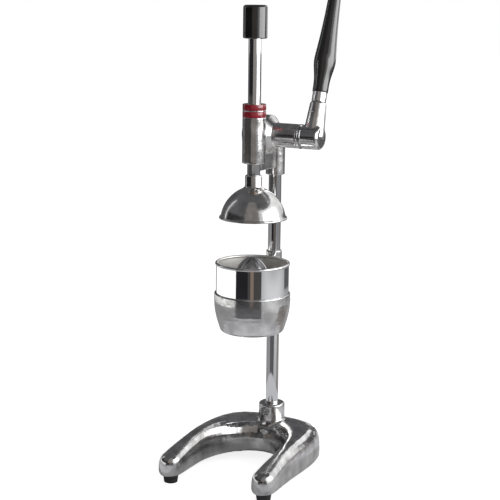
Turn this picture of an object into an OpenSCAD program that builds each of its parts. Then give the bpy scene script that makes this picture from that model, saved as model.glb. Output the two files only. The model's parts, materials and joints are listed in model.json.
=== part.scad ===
// Lever citrus juice press for a bar counter: a horseshoe stand with one column, a cup with a
// ribbed cone on a clamped holder, and a geared head that drives a bell down onto the fruit.
// Millimetres. The origin is on the counter under the press axis. The front is -Y, the lever +X.

/* [Base casting] */
// Width of the horseshoe where its legs leave the crosspiece
base_w = 194; // [162:1:233]
// Width of a leg where it leaves the crosspiece
leg_w = 33; // [28:1:38]
// Width of a leg at its tip
leg_tip_w = 38; // [32:1:44]
// Distance from the press axis forward to the centre of the front feet
leg_reach = 110; // [92:1:132]
// How far in from the widest line the centre of a front foot lies
leg_inset = 16; // [12:1:20]
// Depth of the crosspiece in front of the column axis
cross_front = 28; // [26:1:32]
// Depth of the crosspiece behind the column axis
cross_back = 39; // [36:1:48]
// Height of the top of the crosspiece
base_h = 65; // [55:1:78]
// Height of the top of a leg at its tip
leg_tip_h = 47; // [40:1:54]
// Wall of the casting round its hollow underside
base_wall = 6; // [5:0.5:7]
// Wall of the boss that holds the column
hub_wall = 11; // [8:0.5:13]
// Height of the top of that boss
hub_h = 92; // [86:1:110]

/* [Feet] */
// Diameter of a rubber foot
foot_d = 24; // [20:1:28]
// Height of a rubber foot
foot_h = 13; // [10:1:18]
// How far in from the widest line a rear foot lies
rear_foot_inset = 37; // [32:1:42]
// Diameter of the foot screws
foot_screw_d = 5; // [4:0.5:6]

/* [Column] */
// Diameter of the column
column_d = 20; // [16:1:24]
// Height of the underside of the column above the counter
column_foot = 22; // [20:1:26]
// Diameter of the bolt that holds the column down
column_bolt_d = 10; // [8:1:12]

/* [Cup holder] */
// Height of the underside of the holder bowl
holder_z = 228; // [190:1:276]
// Height of the holder bowl
holder_h = 61; // [54:1:70]
// Outer diameter of the bowl at its floor
holder_floor_d = 99; // [90:1:102]
// Wall of the bowl round its rim, outside the cup
holder_rim_wall = 2.25; // [2:0.25:4]
// Thickness of the bowl's floor
holder_floor_t = 5; // [4:0.5:7]
// Metal between the bowl and the column
arm_w = 4; // [3:0.5:8]
// Wall of the sleeve round the column
sleeve_wall = 2.5; // [2.5:0.5:4]
// How far the sleeve stands above the rim of the bowl
sleeve_up = 54; // [20:1:60]
// How far the sleeve reaches below the floor of the bowl
sleeve_down = 18; // [8:1:24]
// Gap between the outlet pipe of the cup and the drain in the floor
drain_gap = 2; // [1:0.5:6]

/* [Juice cup] */
// Outer diameter of the cup
cup_d = 113; // [108:1:136]
// How far the cup stands above the rim of its holder
cup_rise = 48; // [36:1:58]
// Thickness of the sheet of the cup
cup_wall = 1.5; // [1:0.1:2]
// Diameter of the bead round the cup rim
cup_bead_d = 4.5; // [3.5:0.1:5]
// Outer diameter of the outlet pipe
spout_d = 24; // [18:1:28]
// How far the outlet pipe stands out below the holder
spout_drop = 5; // [4:1:20]

/* [Cone and strainer] */
// Diameter of the cone at its base
cone_d = 70; // [60:1:76]
// Height of the cone above the strainer plate
cone_h = 57; // [48:1:58]
// Number of ribs on the cone, counted in pairs
cone_rib_pairs = 5; // [3:1:7]
// Thickness of a cone rib
cone_rib_w = 3; // [2:0.5:4]
// Thickness of the strainer plate
strainer_t = 1.2; // [1:0.1:2]
// Number of slots in the strainer
slot_count = 30; // [18:1:36]
// Width of a strainer slot
slot_w = 2; // [1.5:0.1:2.6]

/* [Bell] */
// Gap between the bell and the wall of the cup when it is down
bell_gap = 2.5; // [2:0.5:6]
// Gap left between the bell and the top of the cone when it is down
squeeze_gap = 15; // [8:1:24]
// Height of the bell from lip to crown
bell_h = 50; // [44:1:56]
// Wall of the bell
bell_wall = 3.5; // [3:0.5:4.5]
// Width of the rolled lip
lip_w = 2.5; // [1.5:0.5:3]
// Diameter of the boss on the crown
bell_boss_d = 26; // [25:1:32]
// Height of the boss above the crown
bell_boss_h = 17; // [12:1:20]
// Gap between the boss and the guide tube at rest
boss_gap = 18; // [4:1:24]

/* [Head casting] */
// Outer diameter of the guide tube
guide_d = 36; // [34:1:40]
// Length of the guide tube below the pinion shaft
guide_low = 42; // [40:1:50]
// Length of the guide tube above the pinion shaft
guide_up = 48.5; // [48:0.5:56]
// Wall of the gear case round its rim
case_wall = 2.5; // [2:0.5:5]
// Outer diameter of the shaft housing
housing_d = 37; // [30:1:40]
// Distance from the press axis to the end of the shaft housing
housing_end = 62; // [52:1:74]
// Wall of the socket on the column
socket_wall = 5; // [4:0.5:8]
// How far the socket reaches below the guide tube
socket_low = 25; // [16:1:30]
// Depth of the column in the socket
socket_depth = 35; // [32:1:42]
// Thickness of the gear cover
cover_t = 4; // [4:0.5:6]
// Height of each red ring
ring_h = 9; // [6:0.5:10]
// Width of the metal line between the rings
ring_gap = 2; // [1:0.5:3]
// Thickness of the red rings
ring_t = 2; // [1:0.5:2.5]

/* [Rack and pinion] */
// Size of the teeth: pitch diameter over number of teeth
tooth_module = 2; // [1.75:0.25:2.25]
// Number of teeth on the pinion
pinion_teeth = 25; // [22:1:30]
// Width of the pinion
pinion_w = 14; // [10:1:16]
// Diameter of the rack rod
rack_d = 20; // [18:1:21]
// Distance from the rack axis back to the pitch line of its teeth
rack_pitch_y = 7; // [6:0.1:7.5]
// Travel of the press
stroke = 86; // [72:1:103]
// Diameter of the pinion shaft
shaft_d = 14; // [12:1:17]
// Wall of the bearing bushes
bush_wall = 3; // [2:0.5:3]

/* [Rack cap] */
// Diameter of the cap
cap_d = 37; // [34:1:44]
// Height of the cap
cap_h = 49.5; // [44:0.5:60]
// Gap left between the cap and the guide tube when the press is down
cap_gap = 12; // [6:1:20]

/* [Lever] */
// How far the lever leans back from upright at rest, in degrees
lever_lean = 18; // [12:0.5:24]
// Length of the lever hub along the shaft
lever_hub_w = 28; // [26:1:34]
// Diameter of the lever hub
lever_hub_d = 37; // [34:1:40]
// Length of the hub's taper towards the housing
lever_hub_taper = 5; // [3:1:8]
// Distance from the shaft to the top of the hub's neck
neck_h = 54; // [46:1:60]
// Diameter of the neck where it leaves the hub
neck_foot_d = 33; // [30:1:34]
// Diameter of the top of the neck
neck_d = 25; // [22:1:28]
// Diameter of the lever rod
lever_rod_d = 12.5; // [11:0.5:14]
// Diameter of the ferrule between the neck and the grip
ferrule_d = 22; // [18:1:24]
// Length of the ferrule
ferrule_h = 15.5; // [10:0.5:22]
// Length of the grip
grip_len = 202; // [162:1:240]
// Diameter of the grip at its lower end
grip_low_d = 24; // [22:1:26]
// Diameter of the grip at its swell
grip_swell_d = 34; // [28:1:38]
// Distance from the lower end of the grip to its swell
grip_swell_at = 50; // [40:1:60]
// Diameter of the grip at its upper end
grip_top_d = 18; // [16:1:22]

/* [Fits] */
// Gap on each side of a shaft that turns or slides in its bush
run_fit = 0.06; // [0.03:0.01:0.1]
// Gap on each side of a piece that is fixed in its seat
seat_fit = 0.05; // [0.02:0.01:0.1]
// Gap between a moving piece and its neighbours
air = 0.5; // [0.3:0.1:1]
// Gap on each flank where the teeth mesh
tooth_play = 0.12; // [0.08:0.01:0.2]

/* [Hidden] */
$fn = 64;
cut = 1;                     // how far a cutting body runs past the face it opens
weld = 0.01;                 // how far two bodies of one piece run into each other

// Colours
cast_grey = [0.66, 0.66, 0.68];
chrome_grey = [0.82, 0.83, 0.85];
steel_grey = [0.72, 0.72, 0.73];
rubber_black = [0.08, 0.08, 0.08];
plastic_black = [0.12, 0.12, 0.13];
ring_red = [0.75, 0.16, 0.2];
bronze = [0.7, 0.52, 0.3];

// Set screws and the clamp screw
base_screw_d = 8;
head_screw_d = 6;
clamp_screw_d = 6;
cover_screw_d = 3;

// Cup and holder
cup_r = cup_d / 2;
holder_r = cup_r + air / 2 + holder_rim_wall;
holder_low_r = holder_floor_d / 2 + (cup_d - 113) / 2;   // the bowl widens with its cup
holder_top = holder_z + holder_h;
ledge_drop = 4;                           // depth of the step that seats the cup
ledge_z = holder_top - ledge_drop;
ledge_w = 2.6;                            // width of that step
cup_low_r = cup_r - ledge_w;              // outer radius below the shoulder
cup_top = holder_top + cup_rise;
cup_floor_z = holder_z + holder_floor_t;
cup_floor_r = holder_low_r - holder_floor_t;
outlet_seat_r = spout_d / 2 + seat_fit;     // hole in the cup's floor for the outlet pipe
bowl_band = 14;                           // height of the bowl's straight rim
taper_z = holder_top - 1.9 * bowl_band;   // where the cup starts to taper

// Column
column_r = column_d / 2;
column_y = holder_r + arm_w + column_r;   // distance of the column behind the press axis
bolt_depth = 30;                          // length of thread in the column
washer_t = 3;
washer_d = 30;

// Sleeve and clamp
sleeve_r = column_r + sleeve_wall;
clamp_r = sleeve_r + 3;                   // the thicker part of the sleeve beside the bowl
clamp_top = holder_top - 6;
clamp_slot = 2;                           // saw cut through the clamp
lug_w = 22;                               // width of the clamp lugs
lug_h = 24;
lug_reach = 14;
clamp_z = holder_z + holder_h / 2;
clamp_y = column_y + clamp_r + lug_reach / 2;

// Strainer and cone
strainer_z = ledge_z + cup_wall;
strainer_r = cup_r - cup_wall - air / 2;
cone_z = strainer_z + strainer_t;
cone_top = cone_z + cone_h;
cone_pin_d = 10;
cone_pin_h = 3;

// Bell: its lip clears the cup, and its height leaves the squeeze gap over the cone
bell_r = cup_r - cup_wall - bell_gap;
dome_r = bell_r - lip_w;
dome_power = 1.85;                        // roundness of the dome, 2 for an ellipse
bell_pad_t = 9.5;                         // metal under the crown, below the rack's socket
bell_clear = bell_h - bell_pad_t;
bell_z = cone_top + squeeze_gap + stroke - bell_clear;
bell_crown = bell_z + bell_h;
bell_pad_z = bell_crown - bell_pad_t;
bell_screw_d = 5;
bell_socket_z = 3;                        // height of the socket's floor above the crown
rack_low = bell_crown + bell_socket_z;
bell_screw_z = (rack_low + bell_crown + bell_boss_h) / 2;

// Pinion and rack
pitch_r = tooth_module * pinion_teeth / 2;
pinion_y = rack_pitch_y + pitch_r;
tooth_pitch = PI * tooth_module;
pressure_angle = 20;
base_r = pitch_r * cos(pressure_angle);
tip_r = pitch_r + tooth_module;
root_r = pitch_r - 1.25 * tooth_module;
rack_teeth = ceil(stroke / tooth_pitch) + 4;
shaft_r = shaft_d / 2;
bush_r = shaft_r + bush_wall;
key_w = 4;

// Head
guide_z = bell_crown + bell_boss_h + boss_gap;
pinion_z = guide_z + guide_low;           // height of the pinion shaft
guide_top = pinion_z + guide_up;
guide_r = guide_d / 2;
guide_bush_r = rack_d / 2 + bush_wall;
bush_gap = tip_r - 4;                     // height of the bushes' inner ends from the shaft
case_in_r = tip_r + air;
case_r = case_in_r + case_wall;
case_left = -guide_r - air;               // left face of the case, clear of the tube
case_right = 13;
cavity_right = pinion_w / 2 + 1;
cover_boss_r = bush_r + 3;
cover_in = -pinion_w / 2 - 1;             // where the cover's boss ends beside the pinion
cone_end = case_right + 10;               // where the case has run down to the housing
bush_len = 14;
ring_zone = 2 * ring_h + ring_gap;
ring_z = guide_top - ring_zone;
ear_r = 4;                                // ears that take the cover screws
ear_len = 10;
ear_at = case_r + 1;
ear_angles = [0, 90, 180];                // up, back and down, clear of the guide tube
socket_z = guide_z - socket_low;
socket_r = column_r + socket_wall;
column_top = socket_z + socket_depth;
web_t = 12;                               // web between the guide tube and the socket

// Lever
thrust_t = 2.5;
thrust_end = housing_end + air + thrust_t;
lever_hub_start = thrust_end + lever_hub_taper;
lever_hub_end = lever_hub_start + lever_hub_w;
lever_x = lever_hub_start + lever_hub_w / 2;
ferrule_start = neck_h;
grip_start = ferrule_start + ferrule_h;
rod_in_hub = shaft_r + 13;                // where the rod starts above the shaft
rod_end = grip_start + grip_len - 22;
rod_pin_d = 4;
rod_pin_at = (rod_in_hub + neck_h) / 2;

// Cap
cap_z = guide_top + stroke + cap_gap;
cap_bore = 30;
rack_top = cap_z + cap_bore;

// Base: the outlines of the horseshoe, seen from above
gap_w = base_w - 2 * leg_w;
leg_spread = base_w / 2 - leg_inset;
gap_back = column_y - cross_front;        // how far behind the press axis the gap reaches
base_back = column_y + cross_back;
arch_y = -50;                             // where the straight legs meet the arch
arch_in = gap_back - arch_y;              // reach of the gap behind that line
arch_out = base_back - arch_y;            // reach of the outside behind that line
outline_power = 4;                        // squareness of the rear corners
crown_power = 3;                          // squareness of a leg's crown
slope_power = 2.2;                        // how late the legs drop towards their tips
edge_r = 6;                               // rounding at the bottom of the walls
ring_steps = 14;                          // facets over the crown
arch_steps = 12;                          // stations round half of the arch
leg_steps = 6;                            // stations along a straight leg
nose_steps = 5;                           // stations round a tip
nose_end = 80;                            // last angle of the tip's rounding
hollow_front = leg_reach - foot_d / 2 - base_wall;
hub_r = column_r + hub_wall;
hub_flare = 5;
foot_screw_len = 16;                      // thread length in the casting
foot_places = [[-leg_spread, -leg_reach], [leg_spread, -leg_reach],
    [rear_foot_inset - base_w / 2, column_y], [base_w / 2 - rear_foot_inset, column_y]];

// ---------------------------------------------------------------- helpers

function sgn(v) = v < 0 ? -1 : 1;
function power(v, p) = sgn(v) * pow(abs(v), p);

// Distance from the arch centre to a rounded outline of half width a and reach b
function outline(a, b, n, ang) =
    pow(pow(abs(cos(ang)) / a, n) + pow(abs(sin(ang)) / b, n), -1 / n);

// A cylinder along +X
module rod_x(r, from, to, y = pinion_y, z = pinion_z) {
    translate([from, y, z]) rotate([0, 90, 0]) cylinder(r = r, h = to - from);
}

// A taper along +X
module taper_x(r1, r2, from, to) {
    translate([from, pinion_y, pinion_z]) rotate([0, 90, 0]) cylinder(r1 = r1, r2 = r2, h = to - from);
}

// A ring along +X
module bush_x(r_in, r_out, from, to) {
    difference() {
        rod_x(r_out, from, to);
        rod_x(r_in, from - cut, to + cut);
    }
}

// A set screw with a hexagon socket, along +Z, its cup end at the origin
module set_screw(d, len) {
    difference() {
        cylinder(d = d, h = len);
        translate([0, 0, len - d / 3]) cylinder(d = d / 1.8, h = d, $fn = 6);
    }
}

// A cap screw with a socket head, along +Z, the underside of its head at the origin
module cap_screw(d, len) {
    translate([0, 0, -len]) cylinder(d = d, h = len + weld);
    difference() {
        cylinder(d = 1.6 * d, h = d);
        translate([0, 0, d / 2]) cylinder(d = 0.95 * d, h = d, $fn = 6);
    }
}

// Places its children in the lever's own direction: +Z runs up the lever from the shaft
module along_lever() {
    translate([lever_x, pinion_y, pinion_z]) rotate([-lever_lean, 0, 0]) children();
}

// ---------------------------------------------------------------- base casting

// Stations of half the horseshoe, from the middle of the crosspiece to the tip of a leg.
// Each is [inner point, outer point, height, hollow 0 or 1].
function arch_point(a, b, n, ang) =
    [outline(a, b, n, ang) * cos(ang), arch_y + outline(a, b, n, ang) * sin(ang)];
function arch_station(ang) = [
    arch_point(gap_w / 2, arch_in, 2, ang),
    arch_point(base_w / 2, arch_out, outline_power, ang),
    leg_height(arch_y + arch_in * sin(ang)), 1];
function leg_station(q) = let (
        y = arch_y + q * (-leg_reach - arch_y),
        x_in = gap_w / 2 + q * (leg_spread - leg_tip_w / 2 - gap_w / 2),
        x_out = base_w / 2 + q * (leg_spread + leg_tip_w / 2 - base_w / 2))
    [[x_in, y], [x_out, y], leg_height(y), y > -hollow_front ? 1 : 0];
function nose_station(ang) = let (
        w = leg_tip_w / 2 * cos(ang),
        y = -leg_reach - leg_tip_w / 2 * sin(ang))
    [[leg_spread - w, y], [leg_spread + w, y],
        foot_h + edge_r + (leg_tip_h - foot_h - edge_r) * sqrt(cos(ang)), 0];
function leg_height(y) = let (q = max(0, (gap_back - y) / (gap_back + leg_reach)))
    base_h - (base_h - leg_tip_h) * pow(q, slope_power);

half_stations = concat(
    [for (i = [0 : arch_steps]) arch_station(90 - 90 * i / arch_steps)],
    [for (i = [1 : leg_steps]) leg_station(i / leg_steps)],
    [for (i = [1 : nose_steps]) nose_station(nose_end * i / nose_steps)]);
half_count = len(half_stations);
stations = concat(
    [for (i = [half_count - 1 : -1 : 1]) let (s = half_stations[i])
        [[-s[0][0], s[0][1]], [-s[1][0], s[1][1]], s[2], s[3]]],
    half_stations);

// The closed section at a station, as [share of the way from inside to outside, height]
function section(w, h, hollow) = let (
        wall = min(base_wall, w / 4) / w,
        edge = min(0.7 * edge_r, w / 5) / w,
        roof = foot_h + hollow * (h - base_wall - foot_h),
        haunch = foot_h + hollow * (h - 2.4 * base_wall - foot_h))
    concat(
        [[edge, foot_h], [edge * 0.3, foot_h + edge_r * 0.35]],
        [for (i = [0 : ring_steps]) let (a = 180 - 180 * i / ring_steps)
            [0.5 + 0.5 * power(cos(a), 2 / crown_power),
                foot_h + edge_r + (h - foot_h - edge_r) * pow(sin(a), 2 / crown_power)]],
        [[1 - edge * 0.3, foot_h + edge_r * 0.35], [1 - edge, foot_h]],
        [[1 - wall, foot_h], [1 - 1.2 * wall, haunch], [1 - 1.8 * wall, roof],
            [1.8 * wall, roof], [1.2 * wall, haunch], [wall, foot_h]]);

function station_ring(s) = let (w = norm(s[1] - s[0]))
    [for (p = section(w, s[2], s[3])) let (q = s[0] + (s[1] - s[0]) * p[0]) [q[0], q[1], p[1]]];

module horseshoe() {
    rings = [for (s = stations) station_ring(s)];
    m = len(rings[0]);
    n = len(rings);
    toe_y = -leg_reach - leg_tip_w / 2;
    toe_z = (foot_h + leg_tip_h) / 2 - edge_r;
    points = concat([for (r = rings) each r], [[-leg_spread, toe_y, toe_z], [leg_spread, toe_y, toe_z]]);
    sides = [for (i = [0 : n - 2]) for (j = [0 : m - 1]) let (
            a = i * m + j, b = i * m + (j + 1) % m, c = a + m, d = b + m)
        each [[a, b, c], [b, d, c]]];
    toes = [for (j = [0 : m - 1]) let (k = (j + 1) % m, far = (n - 1) * m)
        each [[k, j, n * m], [far + j, far + k, n * m + 1]]];
    polyhedron(points = points, faces = concat(sides, toes), convexity = 8);
}

// The boss round the column, flared into the crosspiece
module column_boss() {
    flare_z = base_h - 20;
    translate([0, column_y, 0]) rotate_extrude() polygon([
        [0, column_foot], [hub_r - 2, column_foot], [hub_r + hub_flare, flare_z],
        for (a = [0 : 15 : 90])
            [hub_r + hub_flare * (1 - sin(a)), flare_z + 8 + 18 * (1 - cos(a))],
        [hub_r, hub_h - 2], [hub_r - 2, hub_h], [0, hub_h]]);
}

module base_casting() {
    color(cast_grey) difference() {
        union() {
            horseshoe();
            for (p = [foot_places[2], foot_places[3]]) translate([p[0], p[1], foot_h])
                cylinder(d = foot_d - 6, h = base_h - base_wall - foot_h);
            column_boss();
        }
        translate([0, column_y, 0]) cylinder(r = column_r + seat_fit, h = hub_h + cut);
        for (p = foot_places) translate([p[0], p[1], 0])
            cylinder(d = foot_screw_d + 2 * seat_fit, h = foot_h + foot_screw_len);
        translate([0, column_y, hub_h - 12]) rotate([90, 0, 0])
            cylinder(d = base_screw_d + 2 * seat_fit, h = 2 * hub_r);
    }
}

module foot(i) {
    rim_r = foot_d / 2;
    color(rubber_black) translate([foot_places[i][0], foot_places[i][1], 0]) difference() {
        rotate_extrude() polygon([[0, 0], [rim_r - 2.5, 0], [rim_r - 1.5, 1],
            [rim_r, foot_h - 2], [rim_r - 0.5, foot_h], [0, foot_h]]);
        translate([0, 0, -cut]) cylinder(d = foot_screw_d + 2 * seat_fit, h = foot_h + 2 * cut);
        translate([0, 0, -cut]) cylinder(d = 2 * foot_screw_d + 1, h = foot_h / 2 + cut);
    }
}

module foot_screws() {
    color(steel_grey) for (p = foot_places) translate([p[0], p[1], foot_h / 2]) mirror([0, 0, 1])
        difference() {
            union() {
                cylinder(d = 2 * foot_screw_d, h = foot_screw_d / 2);
                translate([0, 0, 2 - foot_h / 2 - foot_screw_len])
                    cylinder(d = foot_screw_d, h = foot_h / 2 + foot_screw_len - 1);
            }
            translate([0, 0, foot_screw_d / 4]) cylinder(d = foot_screw_d * 0.6, h = foot_screw_d, $fn = 6);
        }
}

module base_set_screw() {
    color(steel_grey) translate([0, column_y - column_r, hub_h - 12]) rotate([90, 0, 0])
        set_screw(base_screw_d, hub_wall - 1);
}

// ---------------------------------------------------------------- column

module column() {
    color(chrome_grey) translate([0, column_y, 0]) difference() {
        translate([0, 0, column_foot]) cylinder(r = column_r, h = column_top - column_foot);
        translate([0, 0, column_foot - cut])
            cylinder(d = column_bolt_d + 2 * seat_fit, h = bolt_depth + cut);
    }
}

module column_washer() {
    color(steel_grey) translate([0, column_y, column_foot - washer_t]) difference() {
        cylinder(d = washer_d, h = washer_t);
        translate([0, 0, -cut]) cylinder(d = column_bolt_d + air, h = washer_t + 2 * cut);
    }
}

module column_bolt() {
    head_h = 0.65 * column_bolt_d;
    color(steel_grey) translate([0, column_y, column_foot - washer_t]) {
        translate([0, 0, -head_h]) cylinder(d = 1.85 * column_bolt_d, h = head_h, $fn = 6);
        translate([0, 0, -weld]) cylinder(d = column_bolt_d, h = washer_t + bolt_depth - 2);
    }
}

// ---------------------------------------------------------------- cup holder

// The bowl: a straight rim over a side that curves in towards the floor
module bowl() {
    foot_z = holder_z + 2.5;
    band_z = holder_top - bowl_band;
    rotate_extrude($fn = 96) polygon([
        [0, holder_z], [holder_low_r - 2.5, holder_z],
        for (a = [0 : 15 : 90])
            [holder_low_r + (holder_r - holder_low_r) * sin(a), foot_z + (band_z - foot_z) * a / 90],
        [holder_r, holder_top - 0.8], [holder_r - 0.8, holder_top], [0, holder_top]]);
}

// The sleeve round the column, thicker where it is clamped
module sleeve() {
    low = holder_z - sleeve_down;
    high = holder_top + sleeve_up;
    translate([0, column_y, 0]) rotate_extrude() polygon([[0, low], [sleeve_r, low],
        [sleeve_r, low + sleeve_down / 2], [clamp_r, holder_z], [clamp_r, clamp_top],
        [sleeve_r, clamp_top + 2], [sleeve_r, high], [0, high]]);
}

module cup_holder() {
    r_in = cup_low_r + air / 2;
    low = holder_z - sleeve_down - cut;
    high = holder_top + sleeve_up + cut;
    color(cast_grey) difference() {
        union() {
            bowl();
            sleeve();
            translate([-clamp_r, holder_low_r - 6, holder_z + 3])
                cube([2 * clamp_r, column_y - holder_low_r + 6, clamp_top - holder_z - 3]);
            translate([-lug_w / 2, column_y, clamp_z - lug_h / 2])
                cube([lug_w, clamp_r + lug_reach, lug_h]);
        }
        rotate_extrude($fn = 96) polygon([
            [0, cup_floor_z], [cup_floor_r + air, cup_floor_z],
            [r_in, taper_z], [r_in, ledge_z], [cup_r + air / 2, ledge_z],
            [cup_r + air / 2, holder_top + cut], [0, holder_top + cut]]);
        translate([0, 0, holder_z - cut]) cylinder(d = spout_d + 2 * drain_gap, h = holder_floor_t + 2 * cut);
        translate([0, column_y, low]) cylinder(r = column_r + seat_fit, h = high - low);
        translate([-clamp_slot / 2, column_y, low])
            cube([clamp_slot, clamp_r + lug_reach + cut, high - low]);
        translate([-lug_w, clamp_y, clamp_z]) rotate([0, 90, 0])
            cylinder(d = clamp_screw_d + 2 * seat_fit, h = 2 * lug_w);
    }
}

module holder_clamp_bolt() {
    color(steel_grey) translate([lug_w / 2, clamp_y, clamp_z]) rotate([0, 90, 0])
        cap_screw(clamp_screw_d, lug_w + 3);
}

// ---------------------------------------------------------------- cup, strainer and cone

module juice_cup() {
    w = cup_wall;
    color(chrome_grey) rotate_extrude($fn = 96) union() {
        polygon([
            [outlet_seat_r, cup_floor_z], [cup_floor_r, cup_floor_z],
            [cup_low_r, taper_z], [cup_low_r, ledge_z], [cup_r, ledge_z],
            [cup_r, cup_top - w], [cup_r - w, cup_top - w], [cup_r - w, ledge_z + w],
            [cup_low_r - w, ledge_z + w], [cup_low_r - w, taper_z],
            [cup_floor_r - w, cup_floor_z + w], [outlet_seat_r, cup_floor_z + w]]);
        translate([cup_r - w / 2, cup_top - cup_bead_d / 2]) circle(d = cup_bead_d, $fn = 32);
    }
}

// The outlet pipe, welded into the floor of the cup
module cup_outlet() {
    len = spout_drop + holder_floor_t + cup_wall;
    color(chrome_grey) translate([0, 0, holder_z - spout_drop]) difference() {
        cylinder(d = spout_d, h = len, $fn = 64);
        translate([0, 0, -cut]) cylinder(d = spout_d - 2 * cup_wall, h = len + 2 * cut, $fn = 64);
    }
}

module strainer() {
    slot_in = cone_d / 2 + 2;
    slot_len = cup_low_r - cup_wall - 2 - slot_in;
    color(steel_grey) difference() {
        union() {
            translate([0, 0, strainer_z]) cylinder(r = strainer_r, h = strainer_t, $fn = 96);
            translate([0, 0, cone_z - weld]) cylinder(d = cone_pin_d, h = cone_pin_h + weld);
        }
        for (i = [0 : slot_count - 1]) rotate(360 * i / slot_count)
            translate([slot_in, -slot_w / 2, strainer_z - cut])
                cube([slot_len, slot_w, strainer_t + 2 * cut]);
    }
}

module reamer_cone() {
    cone_r = cone_d / 2;
    rim_h = 3;
    color(steel_grey) difference() {
        union() {
            rotate_extrude() polygon([[0, cone_z], [cone_r, cone_z], [cone_r, cone_z + rim_h],
                for (a = [0 : 10 : 90])
                    [(cone_r - 6) * pow(cos(a), 1.25), cone_z + rim_h + (cone_h - 5) * sin(a)]]);
            intersection() {
                for (i = [0 : cone_rib_pairs - 1]) rotate(180 * i / cone_rib_pairs)
                    translate([-cone_r, -cone_rib_w / 2, cone_z]) cube([cone_d, cone_rib_w, cone_h]);
                rotate_extrude() polygon([[0, cone_z], [cone_r - 1, cone_z],
                    for (a = [0 : 10 : 90])
                        [(cone_r - 1) * cos(a), cone_z + rim_h + (cone_h - rim_h) * sin(a)]]);
            }
        }
        translate([0, 0, cone_z - cut])
            cylinder(d = cone_pin_d + 2 * seat_fit, h = cone_pin_h + seat_fit + cut);
    }
}

// ---------------------------------------------------------------- head

// The guide tube, turned down at the top for the rings, with the metal line between them
module guide_tube() {
    seat_r = guide_r - ring_t;
    line_z = ring_z + ring_h;
    rotate_extrude() polygon([[0, guide_z], [guide_r - 1, guide_z], [guide_r, guide_z + 1],
        [guide_r, ring_z], [seat_r, ring_z], [seat_r, line_z], [guide_r, line_z],
        [guide_r, line_z + ring_gap], [seat_r, line_z + ring_gap], [seat_r, guide_top],
        [0, guide_top]]);
}

module gear_case() {
    rod_x(case_r, case_left, case_right);
    taper_x(case_r, housing_d / 2, case_right, cone_end);
    rod_x(housing_d / 2, case_right, housing_end);
    at_ears() rod_x(ear_r, case_left, case_left + ear_len, 0, 0);
}

// Places its children at each ear of the gear case
module at_ears() {
    for (a = ear_angles) translate([0, pinion_y, pinion_z]) rotate([-a, 0, 0])
        translate([0, 0, ear_at]) children();
}

module column_socket() {
    translate([0, column_y, socket_z]) cylinder(r = socket_r, h = pinion_z - 8 - socket_z);
    translate([0, column_y, pinion_z - 8]) sphere(r = socket_r);
    translate([-web_t / 2, 0, socket_z + 12])
        translate([0, guide_r - 4, 0]) cube([web_t, column_y - guide_r + 4, pinion_z - socket_z - 12]);
}

socket_screw_heights = [socket_z + 10, socket_z + 24];

module head_casting() {
    color(cast_grey) difference() {
        union() {
            difference() {
                gear_case();
                translate([0, 0, ring_z]) cylinder(r = guide_r + air / 2, h = ring_zone + cut);
            }
            guide_tube();
            column_socket();
        }
        translate([0, 0, guide_z - cut])
            cylinder(r = rack_d / 2 + air, h = guide_top - guide_z + 2 * cut);
        translate([0, 0, guide_z - cut])
            cylinder(r = guide_bush_r + seat_fit, h = guide_low - bush_gap + cut);
        translate([0, 0, pinion_z + bush_gap])
            cylinder(r = guide_bush_r + seat_fit, h = guide_up - bush_gap + cut);
        rod_x(case_in_r, case_left - cut, cavity_right);
        rod_x(bush_r + seat_fit, 0, housing_end + cut);
        translate([0, column_y, socket_z - cut])
            cylinder(r = column_r + seat_fit, h = socket_depth + cut);
        for (z = socket_screw_heights) translate([0, column_y, z]) rotate([-90, 0, 0])
            cylinder(d = head_screw_d + 2 * seat_fit, h = 2 * socket_r);
        at_ears() rod_x(cover_screw_d / 2 + seat_fit, case_left - cut, case_left + ear_len - 1, 0, 0);
    }
}

module head_set_screws() {
    color(steel_grey) for (z = socket_screw_heights)
        translate([0, column_y + column_r, z]) rotate([-90, 0, 0])
            set_screw(head_screw_d, socket_wall - 0.5);
}

module gear_cover() {
    color(cast_grey) difference() {
        union() {
            rod_x(case_r, case_left - cover_t, case_left);
            at_ears() rod_x(ear_r, case_left - cover_t, case_left, 0, 0);
            rod_x(case_in_r - seat_fit, case_left - cut, case_left + 2);
            rod_x(cover_boss_r, case_left, cover_in);
            taper_x(cover_boss_r - 3, cover_boss_r + 3, case_left - cover_t - 3, case_left - cover_t + weld);
        }
        rod_x(bush_r + seat_fit, case_left - cover_t + 2, cover_in + cut);
        at_ears() rod_x(cover_screw_d / 2 + seat_fit, case_left - cover_t - cut, case_left + cut, 0, 0);
    }
}

module cover_screws() {
    color(steel_grey) at_ears() translate([case_left - cover_t, 0, 0]) rotate([0, -90, 0])
        cap_screw(cover_screw_d, cover_t + ear_len - 2, $fn = 24);
}

module guide_bush(z, h) {
    color(bronze) translate([0, 0, z]) difference() {
        cylinder(r = guide_bush_r, h = h);
        translate([0, 0, -cut]) cylinder(r = rack_d / 2 + run_fit, h = h + 2 * cut);
    }
}
module guide_bush_lower() { guide_bush(guide_z, guide_low - bush_gap); }
module guide_bush_upper() { guide_bush(pinion_z + bush_gap, guide_up - bush_gap); }

module red_ring(z) {
    color(ring_red) translate([0, 0, z]) difference() {
        cylinder(r = guide_r, h = ring_h);
        translate([0, 0, -cut]) cylinder(r = guide_r - ring_t + seat_fit, h = ring_h + 2 * cut);
    }
}
module red_ring_lower() { red_ring(ring_z); }
module red_ring_upper() { red_ring(ring_z + ring_h + ring_gap); }

module shaft_bush(from, to) {
    color(bronze) bush_x(shaft_r + run_fit, bush_r, from, to);
}
module shaft_bush_left() { shaft_bush(case_left - cover_t + 2, cover_in); }
module shaft_bush_inner() { shaft_bush(cavity_right, cavity_right + bush_len); }
module shaft_bush_outer() { shaft_bush(housing_end - bush_len, housing_end); }

// ---------------------------------------------------------------- press

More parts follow.
